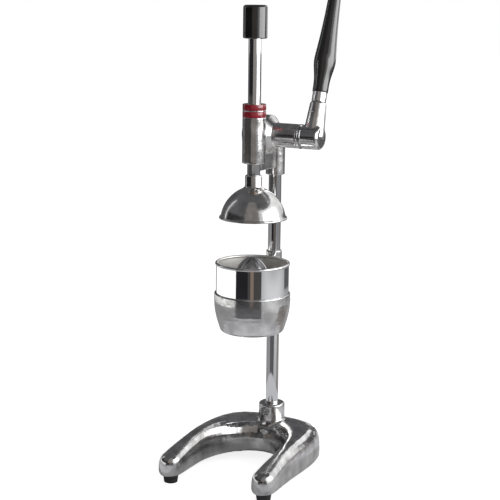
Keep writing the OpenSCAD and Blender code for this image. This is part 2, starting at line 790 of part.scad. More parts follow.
// The space between two rack teeth, seen along X as [y, z]
function rack_gap(z) = let (
        half = tooth_pitch / 4 + tooth_play / 2,
        slope = tan(pressure_angle),
        root = 1.25 * tooth_module,
        tip = tooth_module)
    [[rack_pitch_y + tip, z - half - slope * tip], [rack_pitch_y - root, z - half + slope * root],
        [rack_pitch_y - root, z + half - slope * root], [rack_pitch_y + tip, z + half + slope * tip]];

module rack_rod() {
    first = pinion_z - 2.5 * tooth_pitch;  // middle of the lowest gap
    side = rack_d / 2 + cut;
    gaps = [for (i = [0 : rack_teeth]) each rack_gap(first + i * tooth_pitch)];
    color(chrome_grey) difference() {
        translate([0, 0, rack_low]) cylinder(r = rack_d / 2, h = rack_top - rack_low);
        translate([side, 0, 0]) rotate([90, 0, -90]) linear_extrude(2 * side) polygon(concat(
            [for (p = gaps) [-p[0], p[1]]],
            [[-side, first + (rack_teeth + 1) * tooth_pitch], [-side, first - tooth_pitch]]));
        translate([0, 0, rack_top - cap_bore / 2]) rotate([-90, 0, 0])
            cylinder(d = head_screw_d + 2 * seat_fit, h = rack_d);
        translate([0, rack_d / 2 - 2, bell_screw_z]) rotate([-90, 0, 0])
            cylinder(d = bell_screw_d + 2 * seat_fit, h = rack_d);
    }
}

module rack_cap() {
    cap_r = cap_d / 2;
    crown_r = 4;
    crown_z = cap_z + cap_h - crown_r;
    color(plastic_black) difference() {
        rotate_extrude($fn = 96) polygon([[0, cap_z], [cap_r - 1.5, cap_z], [cap_r, cap_z + 1.5],
            for (a = [0 : 15 : 90]) [cap_r - crown_r * (1 - cos(a)), crown_z + crown_r * sin(a)],
            [0, cap_z + cap_h]]);
        translate([0, 0, cap_z - cut]) cylinder(r = rack_d / 2 + seat_fit, h = cap_bore + cut + air);
        translate([0, 0, cap_z + cap_bore / 2]) rotate([-90, 0, 0])
            cylinder(d = head_screw_d + 2 * seat_fit, h = cap_d);
    }
}

module cap_set_screw() {
    color(steel_grey) translate([0, rack_d / 2 - 2, cap_z + cap_bore / 2]) rotate([-90, 0, 0])
        set_screw(head_screw_d, (cap_d - rack_d) / 2 + 1);
}

// A point on a dome of radius r and height h
function dome_point(r, h, a) = [r * pow(cos(a), 2 / dome_power), bell_z + h * pow(sin(a), 2 / dome_power)];

module press_bell() {
    boss_r = bell_boss_d / 2;
    boss_top = bell_crown + bell_boss_h;
    in_r = dome_r - bell_wall;
    in_h = bell_h - bell_wall;
    color(cast_grey) difference() {
        rotate_extrude($fn = 96) polygon([
            [in_r, bell_z], [bell_r - 0.8, bell_z], [bell_r, bell_z + 0.8],
            [bell_r, bell_z + 2], [dome_r, bell_z + 3.5],
            for (a = [8 : 8 : 64]) dome_point(dome_r, bell_h, a),
            [boss_r + 0.5, bell_crown - 2.5], [boss_r, bell_crown],
            [boss_r, boss_top - 2], [boss_r - 2, boss_top], [0, boss_top],
            [0, bell_pad_z], [boss_r - 2, bell_pad_z],
            for (a = [64 : -8 : 0]) dome_point(in_r, in_h, a)]);
        translate([0, 0, rack_low]) cylinder(r = rack_d / 2 + seat_fit, h = bell_boss_h);
        translate([0, 0, bell_screw_z]) rotate([-90, 0, 0])
            cylinder(d = bell_screw_d + 2 * seat_fit, h = bell_boss_d);
    }
}

module bell_set_screw() {
    color(steel_grey) translate([0, rack_d / 2 - 2, bell_screw_z]) rotate([-90, 0, 0])
        set_screw(bell_screw_d, (bell_boss_d - rack_d) / 2 + 1);
}

// ---------------------------------------------------------------- lever

function inv(a) = tan(a) - a * PI / 180;

// Half the angle of a pinion tooth at radius r
function tooth_half(r) = let (a = r > base_r ? acos(base_r / r) : 0)
    90 / pinion_teeth - (tooth_play / pitch_r / 2 - inv(pressure_angle) + inv(a)) * 180 / PI;

function tooth_points(mid) = let (
        radii = [root_r, base_r, (base_r + pitch_r) / 2, pitch_r, (pitch_r + tip_r) / 2, tip_r],
        up = [for (r = radii) [r, mid - tooth_half(r)]],
        down = [for (i = [5 : -1 : 0]) [radii[i], mid + tooth_half(radii[i])]])
    [for (p = concat(up, down)) p[0] * [cos(p[1]), sin(p[1])]];

// The slot for a key, open to the bore below it
module key_slot(from, to, top) {
    translate([from, pinion_y - key_w / 2 - seat_fit, pinion_z])
        cube([to - from, key_w + 2 * seat_fit, top]);
}

// The seat that a key sits in on the shaft
module key_seat(from, to) {
    translate([from, pinion_y - key_w / 2 - seat_fit, pinion_z + shaft_r - key_w / 2])
        cube([to - from, key_w + 2 * seat_fit, key_w]);
}

module key(from, to) {
    color(steel_grey) translate([from, pinion_y - key_w / 2, pinion_z + shaft_r - key_w / 2])
        cube([to - from, key_w, key_w - 0.2]);
}

module pinion_gear() {
    color(steel_grey) difference() {
        translate([-pinion_w / 2, pinion_y, pinion_z]) rotate([90, 0, 90])
            linear_extrude(pinion_w) polygon([for (i = [0 : pinion_teeth - 1])
                each tooth_points((i + 0.5) * 360 / pinion_teeth + 180)]);
        rod_x(shaft_r + seat_fit, -pinion_w, pinion_w);
        key_slot(-pinion_w, pinion_w, shaft_r + key_w / 2);
    }
}

shaft_left = case_left - cover_t + 3;
shaft_right = lever_hub_end - 6;
hub_key_left = lever_hub_start + 2;

module pinion_shaft() {
    color(steel_grey) difference() {
        rod_x(shaft_r, shaft_left, shaft_right);
        key_seat(-pinion_w / 2, pinion_w / 2);
        key_seat(hub_key_left, shaft_right + cut);
    }
}

module pinion_key() { key(-pinion_w / 2, pinion_w / 2); }
module hub_key() { key(hub_key_left, shaft_right); }

module thrust_washer() {
    color(chrome_grey) bush_x(shaft_r + seat_fit, housing_d / 2 + 0.5, housing_end + air, thrust_end);
}

module lever_hub() {
    hub_r = lever_hub_d / 2;
    bore_end = shaft_right + air;
    color(cast_grey) difference() {
        union() {
            taper_x(hub_r - 3, hub_r, thrust_end, lever_hub_start);
            rod_x(hub_r, lever_hub_start, lever_hub_end - 3);
            taper_x(hub_r, hub_r - 3, lever_hub_end - 3, lever_hub_end);
            along_lever() cylinder(d1 = neck_foot_d, d2 = neck_d, h = neck_h - 2);
            along_lever() translate([0, 0, neck_h - 2]) cylinder(d1 = neck_d, d2 = neck_d - 3, h = 2);
        }
        rod_x(shaft_r + seat_fit, thrust_end - cut, bore_end);
        key_slot(thrust_end - cut, bore_end, shaft_r + key_w / 2);
        along_lever() translate([0, 0, rod_in_hub])
            cylinder(d = lever_rod_d + 2 * seat_fit, h = neck_h);
        along_lever() translate([0, 0, rod_pin_at]) rotate([90, 0, 0])
            cylinder(d = rod_pin_d + 2 * seat_fit, h = 2 * neck_foot_d, center = true);
        translate([lever_x, pinion_y, pinion_z]) rotate([180, 0, 0])
            cylinder(d = head_screw_d + 2 * seat_fit, h = lever_hub_d);
    }
}

module hub_set_screw() {
    color(steel_grey) translate([lever_x, pinion_y, pinion_z - shaft_r]) rotate([180, 0, 0])
        set_screw(head_screw_d, lever_hub_d / 2 - shaft_r - 1);
}

module lever_rod() {
    color(chrome_grey) difference() {
        along_lever() translate([0, 0, rod_in_hub])
            cylinder(d = lever_rod_d, h = rod_end - rod_in_hub);
        along_lever() translate([0, 0, rod_pin_at]) rotate([90, 0, 0])
            cylinder(d = rod_pin_d + 2 * seat_fit, h = 2 * lever_rod_d, center = true);
    }
}

module rod_pin() {
    color(steel_grey) along_lever() translate([0, 0, rod_pin_at]) rotate([90, 0, 0])
        cylinder(d = rod_pin_d, h = neck_d - 2, center = true);
}

module lever_ferrule() {
    color(chrome_grey) along_lever() translate([0, 0, ferrule_start]) difference() {
        rotate_extrude() polygon([[0, 0], [ferrule_d / 2 - 0.8, 0], [ferrule_d / 2, 0.8],
            [ferrule_d / 2, ferrule_h - 0.8], [ferrule_d / 2 - 0.8, ferrule_h], [0, ferrule_h]]);
        translate([0, 0, -cut]) cylinder(d = lever_rod_d + 2 * seat_fit, h = ferrule_h + 2 * cut);
    }
}

// Radius of the grip at a distance from its lower end
function grip_r(t) = t < grip_swell_at
    ? grip_low_d / 2 + (grip_swell_d - grip_low_d) / 2 * pow(sin(90 * t / grip_swell_at), 4)
    : grip_top_d / 2 + (grip_swell_d - grip_top_d) / 2
        * pow(1 - (t - grip_swell_at) / (grip_len - grip_swell_at), 2.2);

module lever_grip() {
    round_r = grip_top_d / 2 - 1;
    round_z = grip_len - round_r;
    color(plastic_black) along_lever() difference() {
        translate([0, 0, grip_start]) rotate_extrude() polygon(concat(
            [[0, 0], [grip_low_d / 2 - 1, 0]],
            [for (i = [0 : 24]) let (t = 1 + (round_z - 1) * i / 24) [grip_r(t), t]],
            [for (a = [15 : 15 : 90])
                [grip_r(round_z) - round_r * (1 - cos(a)), round_z + round_r * sin(a)]],
            [[0, grip_len]]));
        cylinder(d = lever_rod_d + 2 * seat_fit, h = rod_end + air);
    }
}

// ---------------------------------------------------------------- nodes

base_casting();
foot(0);  // foot_front_left
foot(1);  // foot_front_right
foot(2);  // foot_rear_left
foot(3);  // foot_rear_right
foot_screws();
base_set_screw();
column();
column_washer();
column_bolt();
cup_holder();
holder_clamp_bolt();
juice_cup();
cup_outlet();
strainer();
reamer_cone();
head_casting();
head_set_screws();
gear_cover();
cover_screws();
guide_bush_lower();
guide_bush_upper();
red_ring_lower();
red_ring_upper();
shaft_bush_left();
shaft_bush_inner();
shaft_bush_outer();
rack_rod();
rack_cap();
cap_set_screw();
press_bell();
bell_set_screw();
pinion_gear();
pinion_shaft();
pinion_key();
thrust_washer();
lever_hub();
hub_key();
hub_set_screw();
lever_rod();
rod_pin();
lever_ferrule();
lever_grip();
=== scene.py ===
"""Lever citrus juice press: finishes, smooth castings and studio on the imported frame.

Every length is in metres, in the frame of the CAD: the origin on the counter under the press
axis, -Y to the front, +X to the lever's side. Places and sizes that the CAD sets are read from
the boxes of its nodes. The fields of a sub-assembly hold what a box doesn't tell, such as walls,
bends and edges.
"""

import json
import logging
import math
from dataclasses import dataclass, field
from enum import Enum

import bpy
from mathutils import Matrix, Vector

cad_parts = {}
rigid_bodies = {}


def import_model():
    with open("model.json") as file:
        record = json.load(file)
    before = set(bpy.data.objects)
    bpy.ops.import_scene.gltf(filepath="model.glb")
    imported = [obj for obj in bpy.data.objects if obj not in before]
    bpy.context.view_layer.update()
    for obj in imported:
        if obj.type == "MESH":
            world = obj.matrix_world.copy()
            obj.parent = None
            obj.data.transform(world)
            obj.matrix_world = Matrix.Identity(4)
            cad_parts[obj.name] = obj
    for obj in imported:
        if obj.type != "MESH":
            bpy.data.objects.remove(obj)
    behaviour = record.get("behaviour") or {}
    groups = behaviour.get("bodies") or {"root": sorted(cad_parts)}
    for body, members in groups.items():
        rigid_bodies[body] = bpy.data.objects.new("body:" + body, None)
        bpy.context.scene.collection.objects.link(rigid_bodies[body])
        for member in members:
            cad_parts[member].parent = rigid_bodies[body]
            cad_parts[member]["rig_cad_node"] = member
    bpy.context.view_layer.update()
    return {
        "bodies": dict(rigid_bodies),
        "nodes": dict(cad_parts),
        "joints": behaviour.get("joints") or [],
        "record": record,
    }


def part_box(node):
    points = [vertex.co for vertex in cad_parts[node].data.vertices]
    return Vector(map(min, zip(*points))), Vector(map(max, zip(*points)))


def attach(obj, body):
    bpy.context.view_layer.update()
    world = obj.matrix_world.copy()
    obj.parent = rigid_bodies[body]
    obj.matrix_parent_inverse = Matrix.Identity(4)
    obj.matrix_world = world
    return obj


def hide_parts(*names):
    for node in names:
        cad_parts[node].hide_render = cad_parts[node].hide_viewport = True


WELD = 1e-6  # vertices nearer to each other than this are one
BOX_DIGITS = 4  # decimals of a metre to which a CAD node's box is read
BEND = 0.2  # how far a quarter bend stands out from its chord, as a share of it
SMOOTHING = 0.6  # strength of one round of smoothing on a casting
log = logging.getLogger("press")

Profile = list[tuple[float, float]]
Colour = tuple[float, float, float]


@dataclass(frozen=True)
class Pattern:
    """A noise: its spots in a metre, its levels of finer noise and its scale along each axis."""

    spots: float
    detail: float
    stretch: tuple[float, float, float] = (1.0, 1.0, 1.0)


# ------------------------------------------------------------------ shader maths


class Link:
    """An output socket, with operators that add Math nodes."""

    def __init__(self, tree: bpy.types.NodeTree, value: bpy.types.NodeSocket) -> None:
        """Wraps a socket.

        Args:
            tree: The node tree that new Math nodes go into.
            value: The output socket.
        """
        self.tree = tree
        self.value = value

    def maths(self, operation: str, *others: object) -> "Link":
        """Adds one Math node.

        Args:
            operation: The node's operation.
            others: Its second and third values, as Links or numbers.

        Returns:
            The node's result.
        """
        made = self.tree.nodes.new("ShaderNodeMath")
        made.operation = operation
        for place, part in enumerate((self, *others)):
            if isinstance(part, Link):
                self.tree.links.new(part.value, made.inputs[place])
            else:
                made.inputs[place].default_value = part
        return Link(self.tree, made.outputs[0])

    def __add__(self, other: object) -> "Link":
        """Sum."""
        return self.maths("ADD", other)

    def __mul__(self, other: object) -> "Link":
        """Product."""
        return self.maths("MULTIPLY", other)

    def __pow__(self, other: object) -> "Link":
        """Power."""
        return self.maths("POWER", other)

    __radd__ = __add__
    __rmul__ = __mul__

    def below(self, limit: float) -> "Link":
        """1 where the value is below a limit, and 0 elsewhere."""
        return self.maths("LESS_THAN", limit)

    def clamped(self) -> "Link":
        """The value held between 0 and 1."""
        return self.maths("MAXIMUM", 0.0).maths("MINIMUM", 1.0)


class Shader:
    """The node tree of one material, with its Principled shader."""

    def __init__(self, name: str) -> None:
        """Makes an empty material.

        Args:
            name: The material's name.
        """
        self.material = bpy.data.materials.new(name)
        self.material.use_nodes = True
        self.tree = self.material.node_tree
        self.surface = self.tree.nodes["Principled BSDF"]
        self.place = self.node("ShaderNodeTexCoord", output="Object")

    def node(
        self,
        kind: str,
        settings: dict | None = None,
        inputs: dict | None = None,
        output: object = 0,
    ) -> Link:
        """Adds any node.

        Args:
            kind: The node's type.
            settings: Its properties, set first; "stops" are a colour ramp's stops.
            inputs: Values or Links of its input sockets, by name or place.
            output: The output socket that is wanted, by name or place.

        Returns:
            That output.
        """
        made = self.tree.nodes.new(kind)
        for key, value in (settings or {}).items():
            if key == "stops":
                for stop, (at, shade) in zip(made.color_ramp.elements, value, strict=True):
                    stop.position = at
                    stop.color = (shade, shade, shade, 1.0)
            else:
                setattr(made, key, value)
        for key, value in (inputs or {}).items():
            self.feed(made.inputs[key], value)
        return Link(self.tree, made.outputs[output])

    def feed(self, socket: bpy.types.NodeSocket, value: object) -> None:
        """Sets or links one input socket.

        Args:
            socket: The input.
            value: A Link, a number or a tuple.
        """
        if isinstance(value, Link):
            self.tree.links.new(value.value, socket)
        elif isinstance(value, tuple) and len(value) == 3 and socket.type == "RGBA":
            socket.default_value = (*value, 1.0)
        else:
            socket.default_value = value

    def set(self, **values: object) -> None:
        """Sets sockets of the Principled shader; an underscore in a name stands for a space."""
        for key, value in values.items():
            self.feed(self.surface.inputs[key.replace("_", " ")], value)

    def noise(self, pattern: Pattern) -> Link:
        """A noise on the object's own coordinates, from 0 to 1."""
        place = {"Vector": self.place, "Scale": pattern.stretch}
        where = self.node("ShaderNodeMapping", inputs=place)
        inputs = {"Vector": where, "Scale": pattern.spots, "Detail": pattern.detail}
        return self.node("ShaderNodeTexNoise", inputs=inputs)

    def ramp(self, value: Link, black: float, white: float) -> Link:
        """A grey ramp, from the value that turns black to the one that turns white."""
        stops = ((black, 0.0), (white, 1.0))
        return self.node("ShaderNodeValToRGB", {"stops": stops}, {"Fac": value})

    def mix(self, factor: Link, one: Colour, two: Colour) -> Link:
        """A blend of two colours."""
        return self.node(
            "ShaderNodeMix", {"data_type": "RGBA"}, {0: factor, 6: one, 7: two}, output=2
        )

    def bump(self, height: Link, depth: float) -> None:
        """Feeds a height to the shader's Normal.

        Args:
            height: The height, from 0 to 1.
            depth: Metres between its lowest and highest.
        """
        inputs = {"Height": height, "Distance": depth, "Strength": 1.0}
        self.set(Normal=self.node("ShaderNodeBump", inputs=inputs, output="Normal"))


# ------------------------------------------------------------------ finishes


class Slot(Enum):
    """The material slots of the record."""

    ALUMINIUM = "polished_aluminium"
    CHROME = "chrome"
    CUP = "cup_steel"
    STEEL = "steel"
    RUBBER = "foot_rubber"
    PLASTIC = "black_plastic"
    RED = "red_ring"
    BRONZE = "bronze"


WIPING = Pattern(60.0, 3.0, (1.0, 1.0, 0.25))  # the faint marks that wiping leaves on bright metal
SHEET_SWELLS = Pattern(14.0, 1.0)  # the slow swell of rolled or spun metal


@dataclass(frozen=True)
class CastAluminium:
    """Hand-polished cast aluminium: a wavy mirror with soft smears and fine polishing lines."""

    bright: Colour = (0.86, 0.855, 0.85)
    dull: Colour = (0.54, 0.535, 0.535)
    clouds: Pattern = Pattern(16.0, 3.0)
    patches: Pattern = Pattern(42.0, 2.0)
    patch_limits: tuple = (0.34, 0.66)
    lines: Pattern = Pattern(900.0, 2.0, (1.0, 1.0, 0.06))
    swells: Pattern = Pattern(24.0, 1.0)
    ripples: Pattern = Pattern(85.0, 2.0)
    rough: float = 0.1
    smear: float = 0.18
    line_rough: float = 0.05
    line_height: float = 0.012
    ripple_height: float = 0.3
    wave: float = 0.0009

    def make(self, name: str) -> bpy.types.Material:
        """Returns the material."""
        shader = Shader(name)
        cloudy = shader.noise(self.clouds)
        patches = shader.ramp(shader.noise(self.patches), *self.patch_limits)
        lines = shader.noise(self.lines)
        swell = shader.noise(self.swells) + shader.noise(self.ripples) * self.ripple_height
        rough = self.rough + cloudy**2 * self.smear + lines * self.line_rough
        shader.set(
            Metallic=1.0,
            Base_Color=shader.mix(patches, self.dull, self.bright),
            Roughness=rough.clamped(),
        )
        shader.bump(swell + lines * self.line_height, self.wave)
        return shader.material


@dataclass(frozen=True)
class Plate:
    """Bright plate on ground steel, with faint wiping marks."""

    bright: Colour = (0.86, 0.865, 0.875)
    wiped_share: float = 0.93
    wiping: Pattern = WIPING
    swells: Pattern = SHEET_SWELLS
    rough: float = 0.04
    marks: float = 0.05
    wave: float = 0.00008

    def make(self, name: str) -> bpy.types.Material:
        """Returns the material."""
        shader = Shader(name)
        wiped = shader.noise(self.wiping)
        duller = tuple(self.wiped_share * part for part in self.bright)
        shader.set(
            Metallic=1.0,
            Base_Color=shader.mix(wiped, duller, self.bright),
            Roughness=(self.rough + wiped**3 * self.marks).clamped(),
        )
        shader.bump(shader.noise(self.swells), self.wave)
        return shader.material


@dataclass(frozen=True)
class SpunCup:
    """Polished sheet: a mirror outside and a satin inside, told apart by the radius; the inside's
    paler cream colour is painted light on the lit inside.
    """

    bright: Colour = (0.84, 0.845, 0.855)
    # paler colour of the inside: painted light, a brightened copy of the same steel
    inner: Colour = (0.9, 0.885, 0.85)
    wiping: Pattern = WIPING
    swells: Pattern = SHEET_SWELLS
    rough: float = 0.05
    satin: float = 0.45
    marks: float = 0.08
    border: float = 0.0555
    wave: float = 0.00015

    def make(self, name: str) -> bpy.types.Material:
        """Returns the material."""
        shader = Shader(name)
        along_x, along_y = (
            shader.node("ShaderNodeSeparateXYZ", inputs={0: shader.place}, output=axis)
            for axis in "XY"
        )
        inside = (along_x**2 + along_y**2).below(self.border**2)
        wiped = shader.noise(self.wiping)
        shader.set(
            Metallic=1.0,
            # painted light: the inside takes the paler inner colour; its satin roughness below is
            # the real finish
            Base_Color=shader.mix(inside, self.bright, self.inner),
            Roughness=(self.rough + wiped**3 * self.marks + inside * self.satin).clamped(),
        )
        shader.bump(shader.noise(self.swells), self.wave)
        return shader.material


@dataclass(frozen=True)
class MachinedMetal:
    """Turned or rolled metal with fine machining marks."""

    colour: Colour = (0.66, 0.66, 0.67)
    shade: Colour = (0.5, 0.5, 0.51)
    rough: float = 0.24
    marks: Pattern = Pattern(1500.0, 2.0, (1.0, 1.0, 0.2))
    mark_rough: float = 0.12
    mark_depth: float = 0.00003
    clouds: Pattern = Pattern(70.0, 3.0)
    cloud_rough: float = 0.08

    def make(self, name: str) -> bpy.types.Material:
        """Returns the material."""
        shader = Shader(name)
        marks = shader.noise(self.marks)
        cloudy = shader.noise(self.clouds)
        rough = self.rough + marks * self.mark_rough + cloudy * self.cloud_rough
        shader.set(
            Metallic=1.0,
            Base_Color=shader.mix(cloudy, self.shade, self.colour),
            Roughness=rough.clamped(),
        )
        shader.bump(marks, self.mark_depth)
        return shader.material


@dataclass(frozen=True)
class Moulded:
    """Moulded rubber or plastic, with worn patches and a fine grain."""

    colour: Colour
    worn: Colour
    rough: float
    grain: Pattern
    grain_depth: float
    coat: float = 0.0
    coat_rough: float = 0.06
    sheen: float = 0.5
    patches: Pattern = Pattern(45.0, 4.0)
    patch_limits: tuple = (0.45, 0.75)
    patch_rough: float = 0.1
    grain_rough: float = 0.04

    def make(self, name: str) -> bpy.types.Material:
        """Returns the material."""
        shader = Shader(name)
        patchy = shader.noise(self.patches)
        grain = shader.noise(self.grain)
        rough = self.rough + patchy * self.patch_rough + grain * self.grain_rough
        patches = shader.ramp(patchy, *self.patch_limits)
        shader.set(
            Base_Color=shader.mix(patches, self.colour, self.worn),
            Roughness=rough.clamped(),
            Coat_Weight=self.coat,
            Coat_Roughness=self.coat_rough,
            Specular_IOR_Level=self.sheen,
        )
        shader.bump(grain, self.grain_depth)
        return shader.material


FINISHES = {
    Slot.ALUMINIUM: CastAluminium(),
    Slot.CHROME: Plate(),
    Slot.CUP: SpunCup(),
    Slot.STEEL: MachinedMetal(),
    Slot.RUBBER: Moulded(
        colour=(0.016, 0.016, 0.017),
        worn=(0.04, 0.04, 0.041),
        rough=0.55,
        grain=Pattern(1400.0, 2.0),
        grain_depth=0.00006,
    ),
    Slot.PLASTIC: Moulded(
        colour=(0.006, 0.006, 0.0065),
        worn=(0.012, 0.012, 0.013),
        rough=0.16,
        grain=Pattern(800.0, 2.0),
        grain_depth=0.00001,
        coat=1.0,
        sheen=0.7,
    ),
    Slot.RED: Moulded(
        colour=(0.3, 0.008, 0.022),
        worn=(0.38, 0.014, 0.03),
        rough=0.14,
        grain=Pattern(500.0, 2.0),
        grain_depth=0.00001,
        coat=1.0,
        sheen=0.7,
    ),
    Slot.BRONZE: MachinedMetal((0.62, 0.43, 0.2), (0.48, 0.31, 0.14), 0.3),
}


class Finishes:
    """The object's materials, one to a slot, made once."""

    def __init__(self) -> None:
        """Makes every material."""
        self.made = {slot: finish.make(slot.value) for slot, finish in FINISHES.items()}

    def dress(self, piece: bpy.types.Object, slot: Slot) -> None:
        """Puts a slot's material on a piece.

        Args:
            piece: The piece.
            slot: Its slot.
        """
        piece.data.materials.clear()
        piece.data.materials.append(self.made[slot])


# ------------------------------------------------------------------ modelling by hand


class Bench:
    """Operators that model a piece, each called as by hand."""

    @staticmethod
    def pick(piece: bpy.types.Object) -> None:
        """Selects one piece alone and makes it the active one."""
        bpy.ops.object.select_all(action="DESELECT")
        piece.select_set(True)
        bpy.context.view_layer.objects.active = piece

    @classmethod
    def edit(cls, piece: bpy.types.Object) -> None:
        """Picks a piece and enters edit mode with all of it selected."""
        cls.pick(piece)
        bpy.ops.object.mode_set(mode="EDIT")
        bpy.ops.mesh.select_all(action="SELECT")

    @staticmethod
    def done() -> None:
        """Leaves edit mode."""
        bpy.ops.object.mode_set(mode="OBJECT")

    @staticmethod
    def named(name: str) -> bpy.types.Object:
        """Names the active object and its mesh, and returns it."""
        piece = bpy.context.active_object
        piece.name = name
        piece.data.name = name
        return piece

    @classmethod
    def apply(cls, piece: bpy.types.Object, kind: str, **settings: object) -> None:
        """Adds a modifier and applies it.

        Args:
            piece: The piece.
            kind: The modifier's type.
            settings: Its properties.
        """
        cls.pick(piece)
        made = piece.modifiers.new(kind.title(), kind)
        for key, value in settings.items():
            setattr(made, key, value)
        bpy.ops.object.modifier_apply(modifier=made.name)

    @staticmethod
    def extrude_ring(height_from: float, height_to: float, share: float) -> None:
        """Extrudes the selected ring of edges to another height and widens or narrows it.

        Args:
            height_from: Height of the selected ring.
            height_to: Height of the new one.
            share: Radius of the new ring, as a share of the selected one's.
        """
        move = {"value": (0, 0, height_to - height_from)}
        bpy.ops.mesh.extrude_edges_move(TRANSFORM_OT_translate=move)
        bpy.ops.transform.resize(value=(share, share, 1), center_override=(0, 0, height_to))

    @classmethod
    def turned(
        cls, name: str, profile: Profile, sides: int, place: Matrix | None = None
    ) -> bpy.types.Object:
        """Turns a closed profile round an axis: a circle is extruded from ring to ring.

        Args:
            name: The piece's name.
            profile: Radius and height of each ring, from first to last. A first point on the
                axis is closed with a flat end, and a last one with a pole.
            sides: Facets round the axis.
            place: Where the axis stands; the Z axis if left out.

        Returns:
            The piece, with its place in its mesh.
        """
        flat_end = profile[0][0] == 0.0
        rings = profile[1:] if flat_end else profile
        radius, height = rings[0]
        bpy.ops.object.select_all(action="DESELECT")
        bpy.ops.mesh.primitive_circle_add(
            vertices=sides,
            radius=radius,
            location=(0, 0, height),
            fill_type="TRIFAN" if flat_end else "NOTHING",
        )
        piece = cls.named(name)
        bpy.ops.object.transform_apply(location=True)
        cls.edit(piece)
        if flat_end:
            bpy.ops.mesh.select_all(action="DESELECT")
            bpy.ops.mesh.select_non_manifold(
                use_wire=False, use_multi_face=False, use_non_contiguous=False
            )
        for (r_from, z_from), (r_to, z_to) in zip(rings, rings[1:]):
            cls.extrude_ring(z_from, z_to, r_to / r_from)
        bpy.ops.mesh.select_all(action="SELECT")
        bpy.ops.mesh.remove_doubles(threshold=WELD)
        bpy.ops.mesh.normals_make_consistent(inside=False)
        cls.done()
        if place is not None:
            piece.matrix_world = place
            bpy.ops.object.transform_apply(location=True, rotation=True, scale=True)
        return piece

    @classmethod
    def smooth(cls, piece: bpy.types.Object, angle: float) -> None:
        """Shades a piece smooth up to an angle in degrees."""
        cls.pick(piece)
        bpy.ops.object.shade_smooth_by_angle(angle=math.radians(angle))

    @classmethod
    def cast_copy(
        cls, name: str, node: bpy.types.Object, voxel: float, rounds: int
    ) -> bpy.types.Object:
        """Copies a CAD node and softens it as a casting: its edges and inner corners run together.

        Args:
            name: The new piece's name.
            node: The CAD node.
            voxel: Size of the remesh, which sets how much is rounded.
            rounds: How often the surface is smoothed.

        Returns:
            The new piece.
        """
        cls.pick(node)
        bpy.ops.object.duplicate()
        piece = cls.named(name)
        for key in [key for key in piece.keys() if key.startswith("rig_")]:
            del piece[key]
        piece.parent = None
        piece.modifiers.clear()
        cls.edit(piece)
        bpy.ops.mesh.remove_doubles(threshold=WELD)
        cls.done()
        cls.apply(piece, "REMESH", mode="VOXEL", voxel_size=voxel, adaptivity=0.0)
        smoothing = {"iterations": rounds, "lambda_factor": SMOOTHING, "use_volume_preserve": True}
        cls.apply(piece, "LAPLACIANSMOOTH", **smoothing)
        bpy.ops.object.shade_smooth()
        return piece


def arc(start: tuple, end: tuple, bulge: float, steps: int) -> Profile:
    """Points of a rounded corner between two profile points.

    Args:
        start: Radius and height where it starts.
        end: Radius and height where it ends.
        bulge: Share of the chord that the corner stands out to its right; below 0, to its left.
        steps: Number of chords.

    Returns:
        The points, the two ends among them.
    """
    (r_a, z_a), (r_b, z_b) = start, end
    r_out, z_out = z_b - z_a, r_a - r_b
    points = []
    for step in range(steps + 1):
        share = step / steps
        lift = bulge * math.sin(math.pi * share)
        r = r_a + (r_b - r_a) * share + r_out * lift
        z = z_a + (z_b - z_a) * share + z_out * lift
        points.append((r, z))
    return points


@dataclass(frozen=True)
class Box:
    """The box round a CAD node."""

    low: tuple[float, ...]
    high: tuple[float, ...]
    middle: tuple[float, ...]

    @classmethod
    def of(cls, node: str) -> "Box":
        """Reads the box of a CAD node, rounded to a tenth of a millimetre."""
        low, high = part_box(node)
        corners = (low, high, (low + high) / 2)
        return cls(*(tuple(round(place, BOX_DIGITS) for place in corner) for corner in corners))


@dataclass
class Assembly:
    """A sub-assembly: the frame it stands on, and how its pieces are handed to that frame."""

    frame: dict
    finishes: Finishes

    def hand_in(self, piece: bpy.types.Object, body: str, slot: Slot, *nodes: str) -> None:
        """Dresses a new piece, lets it ride on its body and stand for CAD nodes.

        Args:
            piece: The new piece.
            body: The CAD body that it moves with.
            slot: Its material slot.
            nodes: The CAD nodes that it replaces.
        """
        self.finishes.dress(piece, slot)
        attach(piece, body)
        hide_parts(*nodes)
        log.info("%s: %d faces on %s", piece.name, len(piece.data.polygons), body)


# ------------------------------------------------------------------ sub-assemblies


@dataclass
class Castings(Assembly):
    """The cast pieces, with the soft corners of a real casting."""

    base_voxel: float = 0.0018
    fine_voxel: float = 0.0009
    base_rounds: int = 14
    head_rounds: int = 7
    fine_rounds: int = 4

    def build(self) -> None:
        """Makes the base, the holder, the head and the lever's hub."""
        for name, node, body, voxel, rounds in (
            ("base_horseshoe", "base_casting", "stand", self.base_voxel, self.base_rounds),
            ("holder_bowl", "cup_holder", "stand", self.fine_voxel, self.fine_rounds),
            ("head_body", "head_casting", "stand", self.fine_voxel, self.head_rounds),
            ("lever_hub_body", "lever_hub", "lever", self.fine_voxel, self.fine_rounds),
        ):
            piece = Bench.cast_copy(name, self.frame["nodes"][node], voxel, rounds)
            self.hand_in(piece, body, Slot.ALUMINIUM, node)


